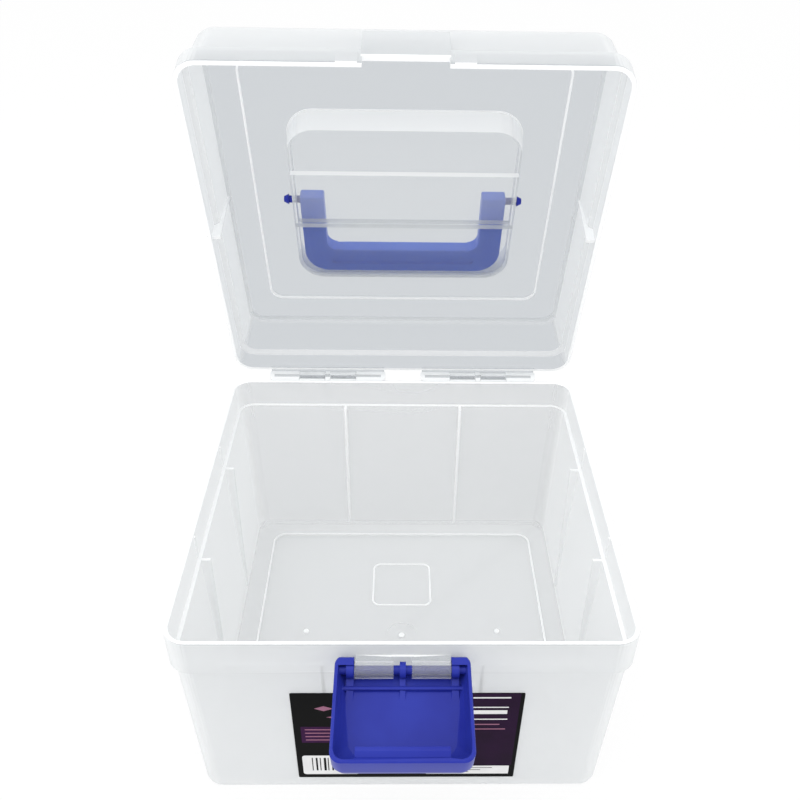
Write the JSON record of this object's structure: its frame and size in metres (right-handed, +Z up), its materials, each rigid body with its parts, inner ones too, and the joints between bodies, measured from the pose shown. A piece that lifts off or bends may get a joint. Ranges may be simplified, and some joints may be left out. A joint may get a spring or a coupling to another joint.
{
  "type": "photo keeper case",
  "caption": "Clear case for keeping photos: deep tub with a hinged deep lid, a carrying handle folded into the lid, a hooked front latch and a front label.",
  "frame": {"origin": "centre of the tub's flat base", "axes": "+Z up, +X to the right seen from the front, +Y to the hinge side"},
  "size_m": [0.216, 0.3029, 0.335],
  "materials": {
    "clear_plastic": "milky-clear moulded polypropylene, satin",
    "blue_plastic": "moulded, satin",
    "label": "printed, glossy film"
  },
  "bodies": {
    "tub": {"tub": "clear_plastic", "label": "label"},
    "lid": {"lid": "clear_plastic"},
    "handle": {"handle": "blue_plastic"},
    "latch": {"latch": "blue_plastic"}
  },
  "joints": [
    {"name": "lid_hinge", "type": "hinge", "parent": "tub", "child": "lid", "pos_m": [0, 0.111, 0.1185], "axis": [1, 0, 0], "range_deg": [-30, 73.3]},
    {"name": "handle_pivot", "type": "hinge", "parent": "lid", "child": "handle", "pos_m": [0, 0.10755, 0.23962], "axis": [1, 0, 0], "range_deg": [0, 160]},
    {"name": "latch_hinge", "type": "hinge", "parent": "tub", "child": "latch", "pos_m": [0, -0.1119, 0.1094], "axis": [-1, 0, 0], "range_deg": [0, 98]}
  ]
}
